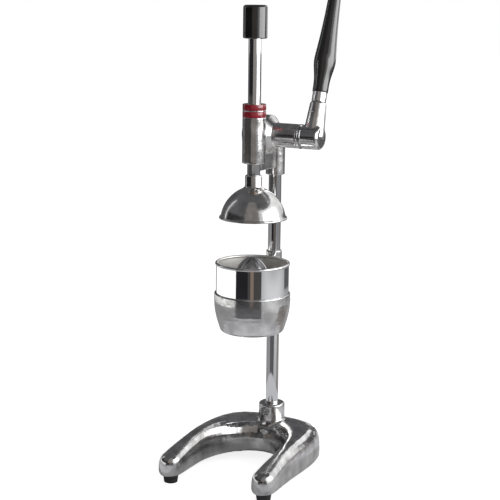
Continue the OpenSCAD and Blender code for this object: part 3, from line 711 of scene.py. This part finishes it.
@dataclass
class Bell(Assembly):
    """The dome that presses the fruit, a smooth turned casting with a rolled lip."""

    lip_z: float = field(init=False)
    height: float = field(init=False)
    radius: float = field(init=False)
    lip: float = 0.0025  # how far the lip stands out
    lip_height: float = 0.0036
    lip_bend: float = 0.15
    lip_edge: float = 0.0008
    seam: float = 0.0002  # from the dome to the first ring of the lip
    wall: float = 0.0035
    boss: float = 0.013  # radius, as are bore and screw
    boss_height: float = 0.017
    boss_edge: float = 0.002
    fillet: tuple = ((0.0, 0.0008), (0.0008, -0.0012), (0.0022, -0.0021))  # out, and over the crown
    bore: float = 0.01005
    socket: float = 0.003  # height of the socket's floor over the crown
    pad: float = 0.0095  # metal under the crown
    screw: float = 0.00255
    drill_reach: float = 0.01
    roundness: float = 1.85  # 2 for an ellipse
    outer_angles: range = range(69, 8, -3)
    inner_angles: range = range(0, 64, 3)
    sides: int = 128
    drill_sides: int = 32
    crease: float = 40.0

    def __post_init__(self) -> None:
        """Reads what the CAD sets."""
        cad = Box.of("press_bell")
        self.lip_z = cad.low[2]
        self.height = cad.high[2] - self.lip_z - self.boss_height
        self.radius = cad.high[0]

    def dome(self, radius: float, height: float, angle: float) -> tuple[float, float]:
        """A point of a dome of that radius and height, at an angle in degrees from its lip."""
        turn = math.radians(angle)
        power = 2.0 / self.roundness
        return (
            radius * math.cos(turn) ** power,
            self.lip_z + height * math.sin(turn) ** power,
        )

    def socket_and_boss(self, crown: float) -> Profile:
        """The outline from the floor of the socket up, over the boss and down to the dome.

        Args:
            crown: Height of the dome's crown.

        Returns:
            The points.
        """
        floor, top = crown + self.socket, crown + self.boss_height
        points = [(0.0, floor), (self.bore, floor), (self.bore, top)]
        points += arc((self.boss - self.boss_edge, top), (self.boss, top - self.boss_edge), -BEND, 5)
        return points + [(self.boss + out, crown + up) for out, up in self.fillet]

    def rolled_lip(self, outer: float) -> Profile:
        """The outline of the lip, from the dome's outside to its inside.

        Args:
            outer: Radius of the dome above the lip.

        Returns:
            The points.
        """
        low, shoulder = self.lip_z, self.lip_height / 2
        start = (outer + self.seam, low + self.lip_height)
        points = arc(start, (self.radius, low + shoulder), -self.lip_bend, 4)
        return points + arc(
            (self.radius, low + shoulder / 2), (self.radius - self.lip_edge, low), -BEND, 4
        )

    def profile(self) -> Profile:
        """The closed outline, from the floor of the socket up, out over the dome and back inside."""
        crown = self.lip_z + self.height
        outer = self.radius - self.lip
        inner = outer - self.wall
        points = self.socket_and_boss(crown)
        points += [self.dome(outer, self.height, angle) for angle in self.outer_angles]
        points += self.rolled_lip(outer)
        points += [self.dome(inner, self.height - self.wall, angle) for angle in self.inner_angles]
        points += [(self.boss - self.boss_edge, crown - self.pad), (0.0, crown - self.pad)]
        return points

    def drill(self, piece: bpy.types.Object) -> None:
        """Drills the hole of the set screw into the back of the boss."""
        middle = self.lip_z + self.height + (self.socket + self.boss_height) / 2
        place = Matrix.Translation((0.0, self.boss, middle)) @ Matrix.Rotation(math.pi / 2, 4, "X")
        reach = self.drill_reach
        outline = [(0.0, -reach), (self.screw, -reach), (self.screw, reach), (0.0, reach)]
        drill = Bench.turned("drill", outline, self.drill_sides, place)
        Bench.apply(piece, "BOOLEAN", operation="DIFFERENCE", object=drill)
        bpy.data.objects.remove(drill)

    def build(self) -> None:
        """Makes the dome."""
        piece = Bench.turned("bell_dome", self.profile(), self.sides)
        self.drill(piece)
        Bench.smooth(piece, self.crease)
        self.hand_in(piece, "press", Slot.ALUMINIUM, "press_bell")


@dataclass
class Cup(Assembly):
    """The spun cup: thin sheet with soft bends, a rolled rim and an outlet pipe.

    Rings beside each bend keep the walls between the bends straight under smooth shading.
    """

    radius: float = field(init=False)
    top: float = field(init=False)
    ledge: float = field(init=False)
    floor: float = field(init=False)
    pipe: float = field(init=False)
    pipe_low: float = field(init=False)
    wall: float = 0.0015
    bead: float = 0.00225  # radius of the rolled rim
    bead_from: float = -65.0  # where its roll starts, and how far it turns, in degrees
    bead_turn: float = 310.0
    bead_steps: int = 20
    bead_foot: float = 0.95  # where the wall meets it, as a share of its radius
    step: float = 0.0026  # width of the step that rests on the holder
    taper: float = 0.2624  # height where the wall starts to lean in
    floor_radius: float = 0.0445
    edge: float = 0.0002
    inner_edge: float = 0.0003
    ledge_edge: float = 0.0004
    taper_bend: tuple = (0.0005, 0.0012)
    floor_bend: tuple = (0.0016, 0.0007)
    inner_bend: float = 0.0006
    shoulder: float = 0.0009  # radius of the bend over the step
    wall_ring: float = 0.002  # from a bend to the ring beside it
    bead_ring: float = 0.0015
    sides: int = 160
    crease: float = 50.0

    def __post_init__(self) -> None:
        """Reads what the CAD sets."""
        cup, outlet = Box.of("juice_cup"), Box.of("cup_outlet")
        self.radius = cup.high[0] - self.bead + self.wall / 2
        self.top = cup.high[2]
        self.ledge = Box.of("strainer").low[2] - self.wall
        self.floor = cup.low[2]
        self.pipe = outlet.high[0]
        self.pipe_low = outlet.low[2]

    def outside(self, low_radius: float, rim: float) -> Profile:
        """The outline from the mouth of the pipe, out over the floor and up to the rim.

        Args:
            low_radius: Radius of the wall below the step.
            rim: Height of the middle of the rolled rim.

        Returns:
            The points.
        """
        pipe, floor, ledge = self.pipe, self.floor, self.ledge
        bend, kick = self.floor_bend
        slip, rise = self.taper_bend
        points = [(pipe - self.wall, self.pipe_low), (pipe - self.edge, self.pipe_low)]
        points += [(pipe, self.pipe_low + self.inner_edge), (pipe, floor - bend)]
        points += arc((pipe, floor - self.edge), (pipe + self.edge, floor), -BEND, 3)
        corner = (self.floor_radius + kick, floor + bend)
        points += arc((self.floor_radius - bend, floor), corner, BEND, 5)
        points += [(low_radius - slip, self.taper - rise), (low_radius, self.taper + rise)]
        points += [(low_radius, ledge - self.edge), (low_radius + self.edge, ledge)]
        corner = (self.radius, ledge + self.shoulder)
        points += arc((self.radius - self.shoulder, ledge), corner, BEND, 4)
        points += [(self.radius, ledge + self.wall_ring)]
        points += [(self.radius, rim - self.bead - self.bead_ring)]
        return points + [(self.radius, rim - self.bead * self.bead_foot)]

    def rolled_rim(self, rim: float) -> Profile:
        """The outline of the rolled rim, from the wall's outside over the top to its inside.

        Args:
            rim: Height of its middle.

        Returns:
            The points.
        """
        middle = self.radius - self.wall / 2
        points = []
        for step in range(self.bead_steps + 1):
            turn = math.radians(self.bead_from + self.bead_turn * step / self.bead_steps)
            points.append((middle + self.bead * math.cos(turn), rim + self.bead * math.sin(turn)))
        return points

    def inside(self, low_radius: float, rim: float) -> Profile:
        """The outline from the rim down the inside to the mouth of the pipe.

        Args:
            low_radius: Outer radius of the wall below the step.
            rim: Height of the middle of the rolled rim.

        Returns:
            The points.
        """
        wall, bend, corner = self.wall, self.inner_bend, self.inner_edge
        high_r, low_r, floor_r = self.radius - wall, low_radius - wall, self.floor_radius - wall
        ledge, floor = self.ledge + wall, self.floor + wall
        points = [(high_r, rim - self.bead * self.bead_foot)]
        points += [(high_r, rim - self.bead - self.bead_ring)]
        points += [(high_r, ledge + self.wall_ring), (high_r, ledge + self.ledge_edge)]
        points += [(high_r - self.ledge_edge, ledge), (low_r + corner, ledge)]
        points += [(low_r, ledge - corner), (low_r, self.taper)]
        points += [(floor_r, floor + bend), (floor_r - bend, floor)]
        points += arc((self.pipe + bend, floor), (self.pipe - wall, self.floor - bend), BEND, 5)
        return points + [(self.pipe - wall, self.pipe_low)]

    def build(self) -> None:
        """Makes the cup."""
        low_radius = self.radius - self.step
        rim = self.top - self.bead
        outline = self.outside(low_radius, rim) + self.rolled_rim(rim) + self.inside(low_radius, rim)
        piece = Bench.turned("spun_cup", outline, self.sides)
        Bench.smooth(piece, self.crease)
        self.hand_in(piece, "stand", Slot.CUP, "juice_cup", "cup_outlet")


@dataclass
class Feet(Assembly):
    """Four turned rubber feet, each with a recess for its screw."""

    nodes: tuple = ("foot_front_left", "foot_front_right", "foot_rear_left", "foot_rear_right")
    bore: float = 0.00255  # radius, as is recess
    recess: float = 0.0055
    taper: float = 0.0024  # how much smaller the sole is all round
    groove: tuple = ((0.0022, 0.0), (0.0018, 0.0004), (0.0012, 0.0004), (0.0008, 0.0))  # in, and up
    sole_bend: tuple = (0.0009, 0.0011)
    top_bend: tuple = (0.0009, 0.0022)
    draft: float = 0.0001
    sides: int = 64
    crease: float = 40.0

    def profile(self, radius: float, height: float) -> Profile:
        """The closed outline of a foot, with a soft edge and a grip groove underneath.

        Args:
            radius: The foot's radius.
            height: Its height.

        Returns:
            The points.
        """
        sole = radius - self.taper
        (sole_out, sole_up), (top_in, top_down) = self.sole_bend, self.top_bend
        points = [(self.recess, 0.0)] + [(sole - inward, up) for inward, up in self.groove]
        points += arc((sole, 0.0), (sole + sole_out, sole_up), BEND, 4)
        side = (radius - self.draft, height - top_down)
        points += arc(side, (radius - top_in, height), BEND, 5)
        points += [(self.bore, height), (self.bore, height / 2), (self.recess, height / 2)]
        return points + [(self.recess, 0.0)]

    def build(self) -> None:
        """Turns a foot under each corner of the base."""
        for node in self.nodes:
            cad = Box.of(node)
            x, y, _ = cad.middle
            outline = self.profile(cad.high[0] - x, cad.high[2])
            place = Matrix.Translation((x, y, 0.0))
            piece = Bench.turned(f"rubber_{node}", outline, self.sides, place)
            Bench.smooth(piece, self.crease)
            self.hand_in(piece, "stand", Slot.RUBBER, node)


@dataclass
class Rings(Assembly):
    """The two red rings round the top of the guide tube."""

    nodes: tuple = ("red_ring_lower", "red_ring_upper")
    inner: float = 0.01605
    edge: float = 0.0006
    sides: int = 128
    crease: float = 40.0

    def profile(self, outer: float, low: float, high: float) -> Profile:
        """The closed outline of a ring with softened edges.

        Args:
            outer: Its outer radius.
            low: Height of its underside.
            high: Height of its top.

        Returns:
            The points.
        """
        points = [(self.inner, low)]
        points += arc((outer - self.edge, low), (outer, low + self.edge), BEND, 4)
        points += arc((outer, high - self.edge), (outer - self.edge, high), BEND, 4)
        return points + [(self.inner, high), (self.inner, low)]

    def build(self) -> None:
        """Turns each ring."""
        for node in self.nodes:
            cad = Box.of(node)
            outline = self.profile(cad.high[0], cad.low[2], cad.high[2])
            piece = Bench.turned(f"{node}_band", outline, self.sides)
            Bench.smooth(piece, self.crease)
            self.hand_in(piece, "stand", Slot.RED, node)


@dataclass
class Lever(Assembly):
    """The black grip on the leaning lever; distances along it start at the shaft's axis."""

    lean: float = 18.0  # degrees back from upright
    start: float = 0.0695
    length: float = 0.202
    low: float = 0.012  # radius at the lower end
    low_edge: float = 0.0012
    swell: float = 0.017  # radius at the widest place, and how far up the grip it is
    swell_at: float = 0.05
    rise: int = 4  # powers of the curves up to the widest place and on to the tip
    fall: float = 2.2
    tip: float = 0.009  # radius at the tip
    tip_flat: float = 0.001
    bore: float = 0.0063
    rod_end: float = 0.2495
    first: float = 0.0015
    steps: int = 44
    tip_steps: int = 8
    softened: tuple = (0.03, 0.075)  # the stretch that is evened out, and over what shifts
    shifts: tuple = (-0.006, -0.003, 0.0, 0.003, 0.006)
    sides: int = 96
    crease: float = 40.0

    def grip_radius(self, along: float) -> float:
        """The grip's radius at a distance from its lower end."""
        if along < self.swell_at:
            rise = math.sin(math.pi / 2 * along / self.swell_at) ** self.rise
            return self.low + (self.swell - self.low) * rise
        left = 1.0 - (along - self.swell_at) / (self.length - self.swell_at)
        return self.tip + (self.swell - self.tip) * left**self.fall

    def soft_radius(self, along: float) -> float:
        """The grip's radius, evened out round its widest place."""
        begin, end = self.softened
        if not begin < along < end:
            return self.grip_radius(along)
        return sum(self.grip_radius(along + shift) for shift in self.shifts) / len(self.shifts)

    def profile(self) -> Profile:
        """The closed outline, from the end of the bore down, out and up to the tip."""
        dome = self.tip - self.tip_flat
        points = [(0.0, self.rod_end), (self.bore, self.rod_end), (self.bore, self.start)]
        corner = (self.low, self.start + self.low_edge)
        points += arc((self.low - self.low_edge, self.start), corner, BEND, 5)
        for step in range(1, self.steps + 1):
            along = self.first + (self.length - dome - self.first) * step / self.steps
            points.append((self.soft_radius(along), self.start + along))
        shoulder = self.grip_radius(self.length - dome) - dome
        dome_z = self.start + self.length - dome
        for step in range(1, self.tip_steps + 1):
            turn = math.pi / 2 * step / self.tip_steps
            points.append((shoulder + dome * math.cos(turn), dome_z + dome * math.sin(turn)))
        return points + [(0.0, self.start + self.length)]

    def build(self) -> None:
        """Turns the grip and leans it on the lever's axis."""
        joint = next(row for row in self.frame["joints"] if row["name"] == "lever_turn")
        _, shaft_y, shaft_z = joint["pos_m"]
        shaft = Matrix.Translation((Box.of("lever_rod").middle[0], shaft_y, shaft_z))
        place = shaft @ Matrix.Rotation(math.radians(-self.lean), 4, "X")
        piece = Bench.turned("moulded_grip", self.profile(), self.sides, place)
        Bench.smooth(piece, self.crease)
        self.hand_in(piece, "lever", Slot.PLASTIC, "lever_grip")


@dataclass
class Machined(Assembly):
    """The CAD nodes, welded and with broken edges, each in its finish."""

    broken_edge: float = 0.0003
    edge_steps: int = 2
    crease: float = 40.0
    tooth_crease: float = 32.0
    sharp: tuple = ("pinion_gear", "reamer_cone", "strainer")

    def build(self) -> None:
        """Dresses every CAD node from its slot in the record."""
        for row in self.frame["record"]["subparts"]:
            node = self.frame["nodes"][row["node"]]
            self.finishes.dress(node, Slot(row["material_slot"]))
            node.modifiers.new("Weld", "WELD").merge_threshold = WELD
            if node.name in self.sharp:
                crease = node.modifiers.new("Crease", "EDGE_SPLIT")
                crease.split_angle = math.radians(self.tooth_crease)
            else:
                edge = node.modifiers.new("Broken_edge", "BEVEL")
                edge.width = self.broken_edge
                edge.segments = self.edge_steps
                edge.limit_method = "ANGLE"
                edge.angle_limit = math.radians(self.crease)
                node.modifiers.new("Flat_faces", "WEIGHTED_NORMAL").keep_sharp = True
            for face in node.data.polygons:
                face.use_smooth = True
            log.info("%s: %s", node.name, row["material_slot"])


# ------------------------------------------------------------------ studio


class Card(Enum):
    """Colours of the cards that stand round the object for its metal to reflect."""

    FLAG = (0.018, 0.018, 0.02)
    DIM = (0.065, 0.062, 0.06)
    SHADE = (0.11, 0.11, 0.115)
    WARM = (0.23, 0.175, 0.14)
    ROOM = (0.27, 0.25, 0.235)
    PAPER = (0.56, 0.56, 0.58)
    BOUNCE = (1.3, 1.3, 1.28)


@dataclass
class Studio:
    """A pale floor, one soft lamp, cards for the metal to reflect, and the camera."""

    eye: tuple = (0.9775, -1.8622, 0.7714)
    turn: float = 27.81
    tilt: float = 11.19
    roll: float = 0.65
    lens: float = 100.0
    sensor: float = 36.0
    middle: tuple = (0.0, 0.0, 0.45)
    floor: float = 12.0
    floor_sides: int = 96
    floor_rough: float = 0.9
    paper: Colour = (0.6, 0.6, 0.61)
    paper_lift: float = 0.82
    air_shade: float = 0.4
    card_sides: int = 180
    table: float = 0.002
    near_table: float = 0.42
    room: float = 1.35
    roof: float = 1.7

    def camera(self) -> None:
        """Stands the camera where the photograph was taken from."""
        turn, tilt, roll = (math.radians(a) for a in (self.turn, self.tilt, self.roll))
        level = math.cos(tilt)
        ahead = Vector((-math.sin(turn) * level, math.cos(turn) * level, -math.sin(tilt)))
        right = Vector((math.cos(turn), math.sin(turn), 0.0))
        up = right.cross(ahead)
        across = right * math.cos(roll) + up * math.sin(roll)
        upward = up * math.cos(roll) - right * math.sin(roll)
        data = bpy.data.cameras.new("camera")
        data.lens = self.lens
        data.sensor_width = self.sensor
        camera = bpy.data.objects.new("camera", data)
        bpy.context.scene.collection.objects.link(camera)
        basis = Matrix((across, upward, -ahead)).transposed().to_4x4()
        camera.matrix_world = Matrix.Translation(self.eye) @ basis
        bpy.context.scene.camera = camera

    def around(self, angle: float, distance: float, height: float) -> Vector:
        """A place round the object, its angle in degrees counted from the camera to the right."""
        turn = math.radians(angle) - math.radians(90.0 - self.turn)
        return Vector((distance * math.cos(turn), distance * math.sin(turn), height))

    def ground(self) -> None:
        """Lays the pale round floor: light grey to the metal, near white to the camera."""
        bpy.ops.object.select_all(action="DESELECT")
        bpy.ops.mesh.primitive_circle_add(
            vertices=self.floor_sides, radius=self.floor, fill_type="NGON"
        )
        floor = bpy.context.active_object
        floor.name = "floor"
        shader = Shader("floor_paper")
        seen = shader.node("ShaderNodeLightPath", output="Is Camera Ray")
        shader.set(Base_Color=self.paper, Roughness=self.floor_rough, Specular_IOR_Level=0.0)
        shader.set(Emission_Color=(1.0, 1.0, 1.0), Emission_Strength=seen * self.paper_lift)
        floor.data.materials.append(shader.material)

    def card(self, name: str, span: tuple, near: tuple, far: tuple, colour: Card) -> None:
        """Sets a curved card round the object that only reflections see.

        Args:
            name: Its name.
            span: The angles in degrees between which it reaches, counted from the camera to
                the right.
            near: Distance and height of its first edge.
            far: Distance and height of its second edge.
            colour: Its colour.
        """
        bpy.ops.object.select_all(action="DESELECT")
        bpy.ops.mesh.primitive_circle_add(
            vertices=self.card_sides,
            radius=near[0],
            location=(0, 0, near[1]),
            rotation=(0, 0, math.radians(self.turn - 90.0)),
        )
        card = bpy.context.active_object
        card.name = name
        bpy.ops.object.transform_apply(location=True, rotation=True)
        Bench.edit(card)
        Bench.extrude_ring(near[1], far[1], far[0] / near[0])
        Bench.done()
        camera_side = self.around(0.0, 1.0, 0.0).to_2d()
        for face in card.data.polygons:
            angle = -math.degrees(camera_side.angle_signed(face.center.to_2d()))
            face.select = not span[0] <= angle <= span[1]
        bpy.ops.object.mode_set(mode="EDIT")
        bpy.ops.mesh.delete(type="FACE")
        Bench.done()
        shader = Shader(name)
        shader.set(Base_Color=(0.0, 0.0, 0.0), Specular_IOR_Level=0.0)
        shader.set(Emission_Color=colour.value, Emission_Strength=1.0)
        card.data.materials.append(shader.material)
        card.visible_camera = False
        card.visible_shadow = False
        card.visible_diffuse = False

    def cards(self) -> None:
        """Sets every card: table, camera's side, left wall, the room in front, back and ceiling."""
        table, near, room, roof = self.table, self.near_table, self.room, self.roof
        for name, span, first, second, colour in (
            ("near_paper", (-180.0, 180.0), (0.2, table / 2), (near, table / 2), Card.PAPER),
            ("table_front", (-52.0, 28.0), (near, table), (room, table), Card.SHADE),
            ("camera_side", (-52.0, 28.0), (1.24, 0.0), (1.24, 0.3), Card.FLAG),
            ("camera_glow", (-14.0, 28.0), (1.22, 0.0), (1.22, 0.3), Card.DIM),
            ("camera_streak", (-6.0, 5.0), (1.2, 0.0), (1.2, 0.3), Card.WARM),
            ("right_table", (85.0, 135.0), (near, table), (1.1, table), Card.ROOM),
            ("left_bounce", (-150.0, -52.0), (1.0, 0.052), (1.0, 0.15), Card.BOUNCE),
            ("left_wall_low", (-110.0, -31.0), (room, 0.15), (room, 0.48), Card.DIM),
            ("left_wall", (-110.0, -31.0), (room, 0.48), (room, 0.8), Card.FLAG),
            ("left_wall_top", (-110.0, -31.0), (room, 0.8), (room, roof), Card.SHADE),
            ("front_room", (-31.0, 22.0), (room, 0.3), (0.5, roof), Card.ROOM),
            ("back_left", (-180.0, -118.0), (room, 0.2), (room, roof), Card.SHADE),
            ("back_middle", (160.0, 180.0), (room, 0.2), (room, roof), Card.SHADE),
            ("back_right", (118.0, 160.0), (room, 0.0), (room, 0.45), Card.SHADE),
            ("ceiling", (-180.0, 180.0), (room + 0.1, roof), (0.01, roof), Card.SHADE),
        ):
            self.card(name, span, first, second, colour)

    def lamp(self, name: str, at: Vector, size: tuple, power: float) -> None:
        """Hangs one soft lamp that points at the middle of the object.

        Args:
            name: Its name.
            at: Where it is.
            size: Its width and height.
            power: Its power in watts.
        """
        data = bpy.data.lights.new(name, "AREA")
        data.shape = "RECTANGLE"
        data.size, data.size_y = size
        data.energy = power
        lamp = bpy.data.objects.new(name, data)
        bpy.context.scene.collection.objects.link(lamp)
        aim = (Vector(self.middle) - at).to_track_quat("-Z", "Y")
        lamp.matrix_world = Matrix.LocRotScale(at, aim, None)

    def air(self) -> None:
        """White behind the object, also to the metal, and a softer room for all else."""
        world = bpy.data.worlds.new("studio")
        bpy.context.scene.world = world
        world.use_nodes = True
        tree = world.node_tree
        room = tree.nodes["Background"]
        room.inputs["Color"].default_value = (self.air_shade, self.air_shade, self.air_shade, 1.0)
        white = tree.nodes.new("ShaderNodeBackground")
        white.inputs["Color"].default_value = (1.0, 1.0, 1.0, 1.0)
        path = tree.nodes.new("ShaderNodeLightPath")
        camera, glossy, clear = (
            Link(tree, path.outputs[name])
            for name in ("Is Camera Ray", "Is Glossy Ray", "Is Transmission Ray")
        )
        mix = tree.nodes.new("ShaderNodeMixShader")
        tree.links.new((camera + glossy + clear).clamped().value, mix.inputs[0])
        tree.links.new(room.outputs[0], mix.inputs[1])
        tree.links.new(white.outputs[0], mix.inputs[2])
        tree.links.new(mix.outputs[0], tree.nodes["World Output"].inputs["Surface"])
        bpy.context.scene.view_settings.view_transform = "Standard"

    def build(self) -> None:
        """Sets up the studio."""
        self.camera()
        self.ground()
        self.air()
        self.lamp("window_right", self.around(70.0, 1.5, 0.85), size=(1.8, 0.95), power=18.0)
        self.cards()


def main() -> None:
    """Builds the press on its frame, then the studio."""
    logging.basicConfig(level=logging.INFO, format="%(name)s: %(message)s")
    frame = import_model()
    finishes = Finishes()
    for assembly in (Machined, Castings, Bell, Cup, Feet, Rings, Lever):
        assembly(frame, finishes).build()
    Studio().build()


if __name__ == "__main__":
    main()
